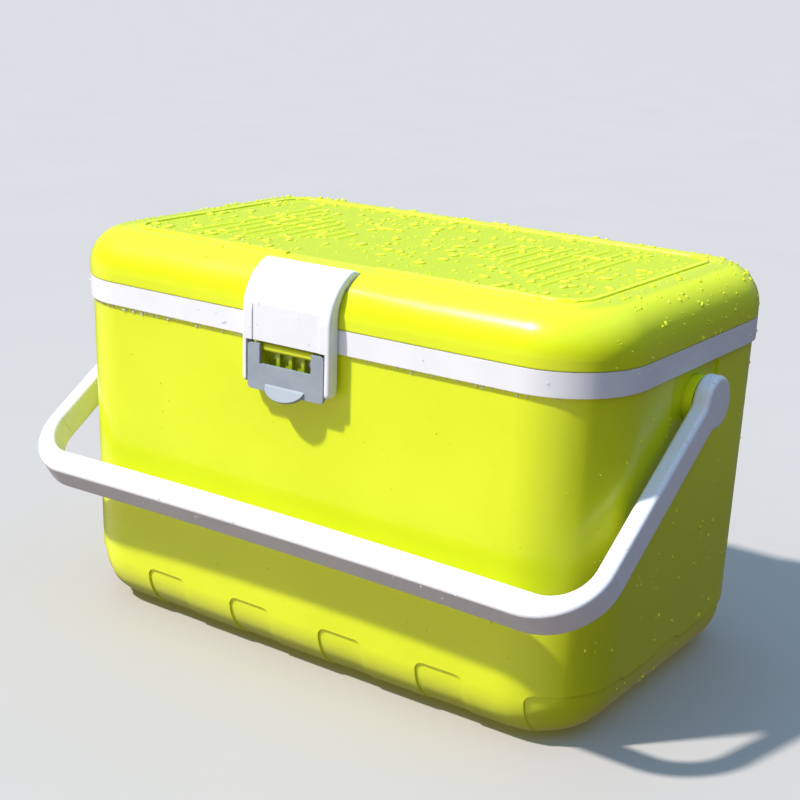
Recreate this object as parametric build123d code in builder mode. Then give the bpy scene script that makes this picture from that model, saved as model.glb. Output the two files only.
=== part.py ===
"""Insulated bait box: foam filled tub, hinged lid, front latch and carry handle.

Millimetres. +X runs along the box to the right, the front faces -Y and +Z is up.
The origin is the middle of the flat base.
"""
import os
from math import cos, radians, sin

from build123d import *

os.makedirs("parts", exist_ok=True)

# Box outside
box_length = 330.0
box_width = 196.0
corner_radius = 42.0
side_crown = 1.6  # the long sides bow out by this in their middle
lid_top_level = 208.0

# White band between the tub and the lid
band_bottom_level = 171.4
band_height = 11.6
band_step = 1.6  # the tub's wall stands this far behind the band's face
band_wall = 2.6
band_cover_thickness = 2.4
fit_gap = 0.15

# Tub
end_taper = 3.5  # each end wall leans in by this towards the foot
side_taper = 0.5
foot_radius = 26.0
tub_wall = 2.4
cavity_inset = 20.0  # from the band's face to the inside of the liner
cavity_draft = 2.0
floor_thickness = 22.0
cavity_floor_radius = 12.0
liner_wall = 2.0
foam_gap = 0.2

# Shallow recesses around the foot
foot_recess_depth = 1.0
foot_recess_width = 27.0
foot_recess_pitch = 59.0
foot_recess_side_count = 6
foot_recess_end_count = 3
foot_recess_top = 28.0
foot_recess_corner = 4.5

# Lid
lid_gap = 0.3
lid_edge_radius = 20.0
lid_wall = 2.4
lid_panel_lift = 1.7  # the inner panel sits this far above the lid's lower edge
lid_panel_thickness = 2.0
plug_gap = 2.5
plug_depth = 6.0
gasket_inset = 8.0
gasket_width = 5.0

# Raised rim and grip ribs on top of the lid
rim_inset = 26.5
rim_width = 3.2
rim_height = 0.9
rim_edge_radius = 0.7
rib_count = 9  # in each of the two wedge-shaped groups
rib_pitch = 8.7
rib_width = 2.4
rib_height = 0.7
rib_taper = 42.0
rib_first_x = 35.0
rib_first_front = 8.0  # the shortest rib's two ends
rib_first_back = 24.0
rib_front_gap = 17.0  # from the rim's inside to the longest rib's ends
rib_back_gap = 8.0

# Rear hinges
hinge_spacing = 150.0
hinge_length = 40.0
hinge_knuckle_radius = 4.0
hinge_knuckle_length = 22.0
hinge_pin_radius = 1.6
hinge_clearance = 0.4
hinge_plate_depth = 3.0
hinge_block_drop = 2.4  # the block's back meets the knuckles this far below their axis
hinge_seat_depth = 0.7
hinge_screw_rise = 4.0
hinge_screw_spacing = 27.0
screw_radius = 1.5
screw_head_radius = 2.8
screw_head_height = 1.6
screw_length = 9.0
screw_head_edge = 0.5
running_gap = 0.05

# Handle
handle_pivot_level = 155.0
handle_angle = 33.4  # below level at rest
handle_wall_gap = 5.2  # from the tub's widest wall to the grip at rest
handle_bow = 2.0  # the grip bows in by this in its middle
handle_grip_width = 13.4
handle_thickness = 15.8
handle_arm_thickness = 8.9
handle_side_gap = 2.2
handle_inner_corner = 19.6
handle_outer_corner = 33.0
handle_edge_radius = 2.4
handle_head_radius = 13.0
handle_neck_radius = 8.0
handle_neck_length = 24.0
stub_radius = 5.0
stub_tail = 2.0  # of the stub past its clip
clip_groove_depth = 1.0
clip_thickness = 1.2
clip_radius = 8.0
clip_mouth = 6.0

# Pivot pockets and bushes
pocket_width = 50.0
pocket_depth = 1.2
pocket_bottom = 128.0
pocket_corner = 9.0
bush_flange_radius = 11.6
bush_radius = 7.0
bush_length = 6.0
head_gap = 0.3

# Latch cover
latch_width = 54.0
latch_depth = 6.9  # from the middle of the front to the cover's face
latch_bottom = 150.0
latch_arc_radius = 26.5
latch_skin = 2.4
latch_rail = 2.8
latch_barrel_radius = 6.4
latch_barrel_lean = 25.0
latch_pin_radius = 1.4
latch_pin_seat = 5.0
latch_body_gap = 0.8
latch_inside_angle = 135.0  # the cover's inside follows the lid's edge up to this angle from +Y
latch_crest = 3.2  # the cover's arc would reach this far above the lid
latch_trough_gap = 0.4
latch_housing_wall = 2.2
latch_edge_radius = 1.6
label_recess_width = 41.0
label_recess_top = 191.0
label_recess_depth = 0.5
rail_foot_radius = 2.5

# Latch lever
lever_top = 170.4
lever_bottom = 147.4
lever_gap = 1.4  # above the lever, below the cover's skin
lever_setback = 0.3
lever_side_gap = 0.9
lever_plate = 1.8
lever_ear = 1.8
lever_pivot_level = 167.5
lever_pivot_setback = 3.3
lever_corner = 2.0
lever_ear_depth = 3.5
lever_pin_radius = 1.1
lever_pin_seat = 2.0
notch_width = 31.6
notch_bottom = 160.5
tab_width = 24.0
tab_reach = 7.5
tab_lean = 38.0

# Strike on the front of the tub
strike_width = 30.4
strike_bottom = 155.5
strike_top = 170.8
strike_plate = 2.2
strike_bar_height = 4.5
strike_bar_round = 1.9
strike_corner = 1.2
strike_gap = 0.3
strike_seat_depth = 0.4
strike_rib_count = 3
strike_rib_width = 2.0
strike_rib_reach = 2.2
strike_screw_spacing = 20.0

# Places that follow from the sizes above
band_top_level = band_bottom_level + band_height
lid_bottom_level = band_top_level + lid_gap
front_face = box_width / 2 + side_crown
plug_inset = cavity_inset + plug_gap
lid_panel_level = lid_bottom_level + lid_panel_lift
rim_inner = rim_inset + rim_width
rib_last_front = rim_inner + rib_front_gap - box_width / 2
rib_last_back = box_width / 2 - rim_inner - rib_back_gap
liner_inset = cavity_inset - liner_wall
liner_foot_radius = cavity_floor_radius + liner_wall
collar_inset = band_wall + fit_gap
flange_top_level = band_top_level - band_cover_thickness - foam_gap
flange_level = flange_top_level - liner_wall
collar_top_level = flange_level - foam_gap
pivot_lean = end_taper * (1 - handle_pivot_level / band_bottom_level)
bush_seat = box_length / 2 - band_step - pivot_lean - pocket_depth - head_gap
bush_inner = bush_seat - bush_length
clip_face = bush_inner - head_gap
stub_end = clip_face - clip_thickness - stub_tail
arm_face = box_length / 2 + handle_side_gap
bush_flange_thickness = arm_face - head_gap - bush_seat
handle_face = arm_face + handle_arm_thickness
grip_half_depth = handle_thickness / 2 * sin(radians(handle_angle))
grip_inside = front_face - band_step + handle_wall_gap + grip_half_depth
handle_inner_radius = grip_inside / cos(radians(handle_angle)) + handle_bow
handle_outer_radius = handle_inner_radius + handle_grip_width
handle_arm_length = handle_inner_radius - handle_inner_corner
hinge_axis_y = front_face + hinge_knuckle_radius + hinge_clearance
hinge_axis_z = band_top_level + lid_gap / 2
hinge_seat = front_face - hinge_seat_depth
hinge_screw_level = band_bottom_level + hinge_screw_rise
strike_seat = front_face - band_step - strike_seat_depth
strike_height = strike_top - strike_bottom
strike_middle = strike_bottom + strike_height / 2
inner_wall_face = front_face - band_step - tub_wall
latch_face = front_face + latch_depth
latch_arc_y = latch_arc_radius - latch_face
latch_arc_z = lid_top_level + latch_crest - latch_arc_radius
barrel_reach = latch_arc_radius - latch_barrel_radius
latch_pivot_y = latch_arc_y - barrel_reach * sin(radians(latch_barrel_lean))
latch_pivot_z = latch_arc_z + barrel_reach * cos(radians(latch_barrel_lean))
lid_arc_y = lid_edge_radius - front_face
lid_arc_z = lid_top_level - lid_edge_radius
rail_inside = latch_width / 2 - latch_rail
skin_bottom = lever_top + lever_gap
lever_half_width = rail_inside - lever_side_gap
lever_face = latch_face - lever_setback
lever_back = lever_face - lever_plate
lever_pivot_y = lever_pivot_setback - latch_face
strike_front = lever_back - strike_gap
trough_radius = latch_barrel_radius + latch_trough_gap
trough_half_width = latch_width / 2 + latch_trough_gap
housing_half_width = trough_half_width + latch_pin_seat + latch_housing_wall
housing_back = latch_pivot_y + trough_radius + latch_housing_wall
housing_floor = latch_pivot_z - trough_radius - latch_housing_wall


def outline(level, inset_x, inset_y):
    """Plan of the box at a level, moved in from the band's face."""
    half_length = box_length / 2 - inset_x
    half_width = box_width / 2 - inset_y
    front_left = (-half_length, -half_width)
    front_right = (half_length, -half_width)
    back_right = (half_length, half_width)
    back_left = (-half_length, half_width)
    with BuildSketch(Plane.XY.offset(level)) as plan:
        with BuildLine():
            ThreePointArc(front_left, (0, -half_width - side_crown), front_right)
            Line(front_right, back_right)
            ThreePointArc(back_right, (0, half_width + side_crown), back_left)
            Line(back_left, front_left)
        make_face()
        fillet(plan.vertices(), corner_radius - min(inset_x, inset_y))
    return plan.sketch


def leaning_outline(level, inset):
    """Plan of the tub's wall, which leans in towards the foot."""
    lean = 1 - level / band_bottom_level
    inset_x = band_step + inset + end_taper * lean
    inset_y = band_step + inset + side_taper * lean
    return outline(level, inset_x, inset_y)


def tub_form(inset, floor_level, top_level, edge_radius):
    """Solid form of the tub with its round foot."""
    foot = leaning_outline(floor_level, inset)
    top = leaning_outline(top_level, inset)
    with BuildPart() as form:
        loft([foot, top], ruled=True)
        fillet(form.edges().group_by(Axis.Z)[0], edge_radius)
    return form.part


def cavity_form(inset, floor_level, edge_radius):
    """Solid form of the liner, whose walls have their own draft."""
    foot = outline(floor_level, inset + cavity_draft, inset + cavity_draft)
    top = outline(band_top_level, inset, inset)
    with BuildPart() as form:
        loft([foot, top], ruled=True)
        fillet(form.edges().group_by(Axis.Z)[0], edge_radius)
    return form.part


def lid_form(inset, floor_level, edge_radius):
    """Solid form of the lid with its round top edge."""
    height = lid_top_level - inset - floor_level
    with BuildPart() as form:
        extrude(outline(floor_level, inset, inset), amount=height)
        fillet(form.edges().group_by(Axis.Z)[-1], edge_radius)
    return form.part


def finish(piece, name):
    """Name a finished piece and write its file."""
    piece.part.label = name
    export_step(piece.part, f"parts/{name}.step")


# Foot recesses: windows cut back only to a form just inside the wall
recess_height = foot_recess_top + 2 * foot_recess_corner
recess_middle = foot_recess_top - recess_height / 2
with BuildPart() as foot_recesses:
    with BuildSketch(Plane.XZ):
        with Locations((0, recess_middle)):
            with GridLocations(foot_recess_pitch, 0, foot_recess_side_count, 1):
                RectangleRounded(foot_recess_width, recess_height, foot_recess_corner)
    extrude(amount=box_width, both=True)
    with BuildSketch(Plane.YZ):
        with Locations((0, recess_middle)):
            with GridLocations(foot_recess_pitch, 0, foot_recess_end_count, 1):
                RectangleRounded(foot_recess_width, recess_height, foot_recess_corner)
    extrude(amount=box_length, both=True)
    recess_floor = tub_form(foot_recess_depth, 0, band_bottom_level, foot_radius)
    add(recess_floor, mode=Mode.SUBTRACT)

# Pockets on both end walls, in which the handle's heads turn
pocket_height = band_bottom_level + pocket_corner - pocket_bottom
with BuildPart() as end_pockets:
    with BuildSketch(Plane.YZ):
        with Locations((0, pocket_bottom + pocket_height / 2)):
            RectangleRounded(pocket_width, pocket_height, pocket_corner)
    extrude(amount=box_length, both=True)
    pocket_floor = tub_form(pocket_depth, 0, band_bottom_level, foot_radius)
    add(pocket_floor, mode=Mode.SUBTRACT)
    split(bisect_by=Plane.XY.offset(band_bottom_level), keep=Keep.BOTTOM)

# Round pads behind the pockets, which carry the bushes
with BuildPart() as bush_pads:
    for side in (1, -1):
        pad_plane = Plane(origin=(side * bush_inner, 0, handle_pivot_level), z_dir=(side, 0, 0))
        with BuildSketch(pad_plane):
            Circle(bush_flange_radius + head_gap)
        extrude(amount=bush_length)

# Screw holes for the hinge blocks, through band, collar and foam
with BuildPart() as hinge_screw_holes:
    with BuildSketch(Plane.ZX.offset(hinge_seat - screw_length)):
        for side in (-1, 1):
            with Locations((hinge_screw_level, side * hinge_spacing / 2)):
                with GridLocations(0, hinge_screw_spacing, 1, 2):
                    Circle(screw_radius + running_gap)
    extrude(amount=screw_length + band_wall)

# Outer tub shell, with the collar that the band slides over
with BuildPart() as outer_tub:
    add(tub_form(0, 0, band_bottom_level, foot_radius))
    collar_height = collar_top_level - band_bottom_level
    extrude(outline(band_bottom_level, collar_inset, collar_inset), amount=collar_height)
    add(foot_recesses.part, mode=Mode.SUBTRACT)
    add(end_pockets.part, mode=Mode.SUBTRACT)
    hollow = tub_form(tub_wall, tub_wall, collar_top_level, foot_radius - tub_wall)
    add(hollow, mode=Mode.SUBTRACT)
    add(bush_pads.part)
    for side in (1, -1):
        pad_plane = Plane(origin=(side * bush_inner, 0, handle_pivot_level), z_dir=(side, 0, 0))
        with BuildSketch(pad_plane):
            Circle(bush_radius + running_gap)
        extrude(amount=bush_length, mode=Mode.SUBTRACT)
        with BuildSketch(pad_plane.offset(bush_length)):
            Circle(bush_flange_radius + head_gap)
        extrude(amount=bush_length, mode=Mode.SUBTRACT)
    with BuildSketch(Plane.XZ.offset(strike_seat)):
        with Locations((0, strike_middle)):
            Rectangle(strike_width + 2 * fit_gap, strike_height + 2 * fit_gap)
    extrude(amount=latch_depth, mode=Mode.SUBTRACT)
    with BuildSketch(Plane.XZ.offset(strike_seat)):
        with Locations((0, strike_middle)):
            with GridLocations(strike_screw_spacing, 0, 2, 1):
                Circle(screw_radius + running_gap)
    extrude(amount=-tub_wall, mode=Mode.SUBTRACT)
    add(hinge_screw_holes.part, mode=Mode.SUBTRACT)
finish(outer_tub, "outer_tub")

# White liner with the flange that rests on the outer shell's collar
with BuildPart() as inner_liner:
    add(cavity_form(liner_inset, floor_thickness - liner_wall, liner_foot_radius))
    extrude(outline(flange_level, collar_inset, collar_inset), amount=liner_wall)
    add(cavity_form(cavity_inset, floor_thickness, cavity_floor_radius), mode=Mode.SUBTRACT)
finish(inner_liner, "inner_liner")

# Foam between the two shells
with BuildPart() as tub_insulation:
    foam_inset = tub_wall + foam_gap
    add(tub_form(foam_inset, foam_inset, collar_top_level, foot_radius - foam_inset))
    foam_floor = floor_thickness - liner_wall - foam_gap
    add(cavity_form(liner_inset - foam_gap, foam_floor, liner_foot_radius), mode=Mode.SUBTRACT)
    for side in (1, -1):
        stub_plane = Plane(origin=(side * stub_end, 0, handle_pivot_level), z_dir=(side, 0, 0))
        with BuildSketch(stub_plane.offset(-fit_gap)):
            Circle(bush_flange_radius + 2 * head_gap)
        extrude(amount=arm_face - stub_end, mode=Mode.SUBTRACT)
    with BuildSketch(Plane.XZ.offset(inner_wall_face)):
        with Locations((0, strike_middle)):
            with GridLocations(strike_screw_spacing, 0, 2, 1):
                Circle(screw_head_radius + foam_gap)
    extrude(amount=-2 * screw_head_height, mode=Mode.SUBTRACT)
    add(hinge_screw_holes.part, mode=Mode.SUBTRACT)
finish(tub_insulation, "tub_insulation")

# White frame ring: skirt outside, cover on top
with BuildPart() as rim_band:
    extrude(outline(band_bottom_level, 0, 0), amount=band_height)
    skirt_height = band_height - band_cover_thickness
    extrude(outline(band_bottom_level, band_wall, band_wall), amount=skirt_height, mode=Mode.SUBTRACT)
    mouth_inset = liner_inset - fit_gap
    extrude(outline(band_bottom_level, mouth_inset, mouth_inset), amount=band_height, mode=Mode.SUBTRACT)
    with BuildSketch(Plane.ZX.offset(hinge_seat)):
        with Locations((band_bottom_level + band_height / 2, 0)):
            with GridLocations(0, hinge_spacing, 1, 2):
                Rectangle(band_height + lid_gap, hinge_length + 2 * fit_gap)
    extrude(amount=band_wall, mode=Mode.SUBTRACT)
    add(hinge_screw_holes.part, mode=Mode.SUBTRACT)
finish(rim_band, "rim_band")

# Lime catch bar on its plate, with short upright ribs below it
with BuildPart() as latch_strike:
    with BuildSketch(Plane.XZ.offset(strike_seat)):
        with Locations((0, strike_middle)):
            RectangleRounded(strike_width, strike_height, strike_corner)
    extrude(amount=strike_plate)
    with BuildSketch(Plane.YZ):
        with Locations(((-strike_seat - strike_front) / 2, strike_top - strike_bar_height / 2)):
            Rectangle(strike_front - strike_seat, strike_bar_height)
    extrude(amount=strike_width / 2, both=True)
    front_edges = latch_strike.edges().filter_by(Axis.X).group_by(Axis.Y)[0]
    fillet(front_edges, strike_bar_round)
    rib_top = strike_top - strike_bar_height / 2
    with BuildSketch(Plane.XZ.offset(strike_seat + strike_plate)):
        with Locations((0, (strike_bottom + strike_rib_width + rib_top) / 2)):
            with GridLocations(strike_width / (strike_rib_count + 1), 0, strike_rib_count, 1):
                Rectangle(strike_rib_width, rib_top - strike_bottom - strike_rib_width)
    extrude(amount=strike_rib_reach)
    with BuildSketch(Plane.XZ.offset(strike_seat)):
        with Locations((0, strike_middle)):
            with GridLocations(strike_screw_spacing, 0, 2, 1):
                Circle(screw_radius + running_gap)
    extrude(amount=strike_plate, mode=Mode.SUBTRACT)
finish(latch_strike, "latch_strike")

# Screws that hold the strike from inside the outer shell
with BuildPart() as strike_screws:
    screw_face = inner_wall_face - fit_gap
    with BuildSketch(Plane.XZ.offset(screw_face)):
        with Locations((0, strike_middle)):
            with GridLocations(strike_screw_spacing, 0, 2, 1):
                Circle(screw_radius)
    extrude(amount=strike_seat + strike_plate - screw_face)
    with BuildSketch(Plane.XZ.offset(screw_face)):
        with Locations((0, strike_middle)):
            with GridLocations(strike_screw_spacing, 0, 2, 1):
                Circle(screw_head_radius)
    extrude(amount=-screw_head_height)
    fillet(strike_screws.edges().group_by(Axis.Y)[-1], screw_head_edge)
finish(strike_screws, "strike_screws")

# Bushes in the end walls
for side, name in ((-1, "pivot_bush_left"), (1, "pivot_bush_right")):
    bush_plane = Plane(origin=(side * bush_inner, 0, handle_pivot_level), z_dir=(side, 0, 0))
    with BuildPart() as pivot_bush:
        with BuildSketch(bush_plane):
            Circle(bush_radius)
        extrude(amount=bush_length)
        with BuildSketch(bush_plane.offset(bush_length)):
            Circle(bush_flange_radius)
        extrude(amount=bush_flange_thickness)
        with BuildSketch(bush_plane):
            Circle(stub_radius + running_gap)
        extrude(amount=bush_length + bush_flange_thickness, mode=Mode.SUBTRACT)
    finish(pivot_bush, name)

# Hinge blocks on the back of the band, each with two knuckles
for side, name in ((-1, "hinge_block_left"), (1, "hinge_block_right")):
    hinge_x = side * hinge_spacing / 2
    with BuildPart() as hinge_block:
        with BuildSketch(Plane.YZ.offset(hinge_x - hinge_length / 2)):
            with BuildLine():
                Polyline(
                    (hinge_seat, band_bottom_level + lid_gap),
                    (hinge_seat + hinge_plate_depth, band_bottom_level + lid_gap),
                    (hinge_seat + hinge_plate_depth, hinge_screw_level + screw_head_radius + lid_gap),
                    (hinge_axis_y + hinge_knuckle_radius, hinge_axis_z - hinge_block_drop),
                    (hinge_axis_y, hinge_axis_z),
                    (hinge_axis_y - hinge_knuckle_radius, band_top_level - lid_gap),
                    (hinge_seat, band_top_level - lid_gap),
                    close=True,
                )
            make_face()
            with Locations((hinge_axis_y, hinge_axis_z)):
                Circle(hinge_knuckle_radius)
        extrude(amount=hinge_length)
        with BuildSketch(Plane.YZ.offset(hinge_x)):
            with Locations((hinge_axis_y, hinge_axis_z)):
                Circle(hinge_knuckle_radius + hinge_clearance)
        extrude(amount=hinge_knuckle_length / 2 + fit_gap, both=True, mode=Mode.SUBTRACT)
        with BuildSketch(Plane.YZ.offset(hinge_x)):
            with Locations((hinge_axis_y, hinge_axis_z)):
                Circle(hinge_pin_radius + running_gap)
        extrude(amount=hinge_length, both=True, mode=Mode.SUBTRACT)
        with BuildSketch(Plane.ZX.offset(hinge_seat)):
            with Locations((hinge_screw_level, hinge_x)):
                with GridLocations(0, hinge_screw_spacing, 1, 2):
                    Circle(screw_radius + running_gap)
        extrude(amount=hinge_plate_depth, mode=Mode.SUBTRACT)
    finish(hinge_block, name)

# Hinge block screws, with their heads behind the plates
with BuildPart() as hinge_screws:
    plate_face = hinge_seat + hinge_plate_depth
    for side in (-1, 1):
        with BuildSketch(Plane.ZX.offset(plate_face)):
            with Locations((hinge_screw_level, side * hinge_spacing / 2)):
                with GridLocations(0, hinge_screw_spacing, 1, 2):
                    Circle(screw_radius)
        extrude(amount=-screw_length)
        with BuildSketch(Plane.ZX.offset(plate_face)):
            with Locations((hinge_screw_level, side * hinge_spacing / 2)):
                with GridLocations(0, hinge_screw_spacing, 1, 2):
                    Circle(screw_head_radius)
        extrude(amount=screw_head_height)
    fillet(hinge_screws.edges().group_by(Axis.Y)[-1], screw_head_edge)
finish(hinge_screws, "hinge_screws")

# Hinge pins, with a small head at the outer end
for side, name in ((-1, "hinge_pin_left"), (1, "hinge_pin_right")):
    outer_end = side * (hinge_spacing / 2 + hinge_length / 2)
    pin_plane = Plane(origin=(outer_end, hinge_axis_y, hinge_axis_z), z_dir=(side, 0, 0))
    with BuildPart() as hinge_pin:
        with BuildSketch(pin_plane):
            Circle(hinge_pin_radius)
        extrude(amount=-hinge_length - lid_gap)
        with BuildSketch(pin_plane.offset(fit_gap)):
            Circle(screw_head_radius)
        extrude(amount=screw_head_height / 2)
        with BuildSketch(pin_plane):
            Circle(hinge_pin_radius)
        extrude(amount=fit_gap)
    finish(hinge_pin, name)

# Block inside the lid around the cover's trough and pin
with BuildPart() as latch_housing:
    with BuildSketch(Plane.XY.offset(housing_floor)):
        with Locations((0, (housing_back - front_face) / 2)):
            Rectangle(2 * housing_half_width, housing_back + front_face)
    extrude(amount=lid_top_level - housing_floor)
    add(lid_form(0, lid_bottom_level, lid_edge_radius), mode=Mode.INTERSECT)

# Raised rim, open in front where the cover is hinged
with BuildPart() as lid_rim:
    rim_root = lid_top_level - lid_wall / 2
    extrude(outline(rim_root, rim_inset, rim_inset), amount=lid_wall / 2 + rim_height)
    extrude(outline(rim_root, rim_inner, rim_inner), amount=2 * lid_wall, mode=Mode.SUBTRACT)
    fillet(lid_rim.edges().group_by(Axis.Z)[-1], rim_edge_radius)
    with BuildSketch(Plane.XY.offset(rim_root)):
        with Locations((0, -front_face)):
            Rectangle(2 * trough_half_width, front_face)
    extrude(amount=lid_wall, mode=Mode.SUBTRACT)

# Lime lid shell with rim, grip ribs and latch trough
web_height = hinge_knuckle_radius  # of the knuckles' webs above their axis
with BuildPart() as lid_shell:
    add(lid_form(0, lid_bottom_level, lid_edge_radius))
    add(lid_form(lid_wall, lid_bottom_level, lid_edge_radius - lid_wall), mode=Mode.SUBTRACT)
    add(latch_housing.part)
    add(lid_rim.part)
    with BuildSketch(Plane.XY.offset(lid_top_level)):
        for i in range(rib_count):
            share = i / (rib_count - 1)
            rib_x = rib_first_x + i * rib_pitch
            rib_front = rib_first_front + share * (rib_last_front - rib_first_front)
            rib_back = rib_first_back + share * (rib_last_back - rib_first_back)
            rib_y = (rib_front + rib_back) / 2
            with Locations((rib_x, rib_y), (-rib_x, -rib_y)):
                SlotOverall(rib_back - rib_front, rib_width, rotation=90)
    extrude(amount=rib_height, taper=rib_taper)
    with BuildSketch(Plane.YZ):
        with Locations((latch_pivot_y, latch_pivot_z)):
            Circle(trough_radius)
    extrude(amount=trough_half_width, both=True, mode=Mode.SUBTRACT)
    with BuildSketch(Plane.YZ):
        with Locations((latch_pivot_y, latch_pivot_z)):
            Circle(latch_pin_radius + running_gap)
    extrude(amount=trough_half_width + latch_pin_seat, both=True, mode=Mode.SUBTRACT)
    with BuildSketch(Plane.ZX.offset(hinge_seat)):
        with Locations((hinge_axis_z, 0)):
            with GridLocations(0, hinge_spacing, 1, 2):
                Rectangle(2 * (web_height + fit_gap), hinge_knuckle_length + 2 * fit_gap)
    extrude(amount=lid_wall, mode=Mode.SUBTRACT)
finish(lid_shell, "lid_shell")

# Lid knuckles, seated in shallow pockets in the back of the lid
for side, name in ((-1, "lid_knuckle_left"), (1, "lid_knuckle_right")):
    with BuildPart() as lid_knuckle:
        with BuildSketch(Plane.YZ.offset(side * hinge_spacing / 2)):
            web_bottom = lid_bottom_level + fit_gap
            web_middle = (web_bottom + hinge_axis_z + web_height) / 2
            with Locations(((hinge_seat + hinge_axis_y) / 2, web_middle)):
                Rectangle(hinge_axis_y - hinge_seat, 2 * (web_middle - web_bottom))
            with Locations((hinge_axis_y, hinge_axis_z)):
                Circle(hinge_knuckle_radius)
                Circle(hinge_pin_radius + running_gap, mode=Mode.SUBTRACT)
        extrude(amount=hinge_knuckle_length / 2, both=True)
    finish(lid_knuckle, name)

# White inner panel with the plug that reaches into the tub's mouth
with BuildPart() as lid_liner:
    panel_inset = lid_wall + fit_gap
    extrude(outline(lid_panel_level, panel_inset, panel_inset), amount=lid_panel_thickness)
    plug_floor = lid_bottom_level - plug_depth
    extrude(outline(plug_floor, plug_inset, plug_inset), amount=lid_panel_level - plug_floor)
    tray_inset = plug_inset + liner_wall
    extrude(
        outline(plug_floor + lid_panel_thickness, tray_inset, tray_inset),
        amount=plug_depth + lid_panel_lift,
        mode=Mode.SUBTRACT,
    )
    fillet(lid_liner.edges().group_by(Axis.Z)[0], lid_panel_thickness / 2)
finish(lid_liner, "lid_liner")

# Foam slab of the lid
with BuildPart() as lid_insulation:
    slab_inset = lid_wall + foam_gap
    slab_level = lid_panel_level + lid_panel_thickness + foam_gap
    add(lid_form(slab_inset, slab_level, lid_edge_radius - slab_inset))
    tray_foam_level = lid_bottom_level - plug_depth + lid_panel_thickness + foam_gap
    tray_foam_inset = plug_inset + liner_wall + foam_gap
    extrude(
        outline(tray_foam_level, tray_foam_inset, tray_foam_inset),
        amount=slab_level - tray_foam_level,
    )
    with BuildSketch(Plane.XY.offset(housing_floor - foam_gap)):
        with Locations((0, (housing_back - front_face) / 2)):
            Rectangle(
                2 * (housing_half_width + foam_gap),
                housing_back + front_face + 2 * foam_gap,
            )
    extrude(amount=lid_top_level - housing_floor, mode=Mode.SUBTRACT)
finish(lid_insulation, "lid_insulation")

# Seal ring under the panel
with BuildPart() as lid_gasket:
    gasket_inner = gasket_inset + gasket_width
    extrude(outline(lid_bottom_level, gasket_inset, gasket_inset), amount=lid_panel_lift)
    extrude(
        outline(lid_bottom_level, gasket_inner, gasket_inner),
        amount=lid_panel_lift,
        mode=Mode.SUBTRACT,
    )
finish(lid_gasket, "lid_gasket")

# Pin of the latch cover
with BuildPart() as latch_pin:
    with BuildSketch(Plane.YZ):
        with Locations((latch_pivot_y, latch_pivot_z)):
            Circle(latch_pin_radius)
    extrude(amount=trough_half_width + latch_pin_seat - fit_gap, both=True)
finish(latch_pin, "latch_pin")


def arc_point(centre_y, centre_z, radius, angle):
    """Point on a circle in the side view, its angle counted up from +Y."""
    return (centre_y + radius * cos(radians(angle)), centre_z + radius * sin(radians(angle)))


def cover_curve(depth):
    """Face of the latch cover in side view, from its foot over to its barrel."""
    radius = latch_arc_radius - depth
    lean_angle = 90 + latch_barrel_lean
    foot = (depth - latch_face, latch_bottom)
    spring = (depth - latch_face, latch_arc_z)
    middle = arc_point(latch_arc_y, latch_arc_z, radius, (180 + lean_angle) / 2)
    crest = arc_point(latch_arc_y, latch_arc_z, radius, lean_angle)
    Line(foot, spring)
    ThreePointArc(spring, middle, crest)
    Line(crest, (latch_pivot_y, latch_pivot_z))
    return foot


# White latch cover: curved skin, two side rails and the hinge barrel
with BuildPart() as latch_cover:
    inside_radius = lid_edge_radius + latch_body_gap
    inside_face = -front_face - latch_body_gap
    inside_top = arc_point(lid_arc_y, lid_arc_z, inside_radius, latch_inside_angle)
    inside_middle = arc_point(lid_arc_y, lid_arc_z, inside_radius, (180 + latch_inside_angle) / 2)
    with BuildSketch(Plane.YZ):
        with BuildLine():
            cover_foot = cover_curve(0)
            Line((latch_pivot_y, latch_pivot_z), inside_top)
            ThreePointArc(inside_top, inside_middle, (inside_face, lid_arc_z))
            Line((inside_face, lid_arc_z), (inside_face, latch_bottom))
            Line((inside_face, latch_bottom), cover_foot)
        make_face()
        with Locations((latch_pivot_y, latch_pivot_z)):
            Circle(latch_barrel_radius)
    extrude(amount=latch_width / 2, both=True)
    face_edges = latch_cover.faces().filter_by(Axis.X).edges().filter_by(
        lambda edge: edge.center().Y < inside_face and edge.length > 2 * latch_depth
    )
    fillet(face_edges, latch_edge_radius)
    with BuildSketch(Plane.YZ):
        with BuildLine():
            skin_foot = cover_curve(latch_skin)
            Line((latch_pivot_y, latch_pivot_z), (latch_pivot_y, latch_bottom))
            Line((latch_pivot_y, latch_bottom), skin_foot)
        make_face()
        with Locations((latch_pivot_y, latch_pivot_z)):
            Circle(latch_barrel_radius, mode=Mode.SUBTRACT)
    extrude(amount=rail_inside, both=True, mode=Mode.SUBTRACT)
    with BuildSketch(Plane.XZ.offset(-inside_face)):
        with Locations((0, (latch_bottom + skin_bottom) / 2)):
            Rectangle(2 * rail_inside, skin_bottom - latch_bottom)
    extrude(amount=latch_depth, mode=Mode.SUBTRACT)
    with BuildSketch(Plane.XZ.offset(latch_face - label_recess_depth)):
        with Locations((0, (skin_bottom + label_recess_top) / 2)):
            Rectangle(label_recess_width, label_recess_top - skin_bottom)
    extrude(amount=latch_depth, mode=Mode.SUBTRACT)
    with BuildSketch(Plane.YZ):
        with Locations((latch_pivot_y, latch_pivot_z)):
            Circle(latch_pin_radius + running_gap)
    extrude(amount=latch_width, both=True, mode=Mode.SUBTRACT)
    with BuildSketch(Plane.YZ):
        with Locations((lever_pivot_y, lever_pivot_level)):
            Circle(lever_pin_radius + running_gap)
    extrude(amount=rail_inside + lever_pin_seat, both=True, mode=Mode.SUBTRACT)
    foot_edges = latch_cover.edges().filter_by(Axis.X).group_by(Axis.Z)[0]
    fillet(foot_edges, rail_foot_radius)
finish(latch_cover, "latch_cover")

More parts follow.
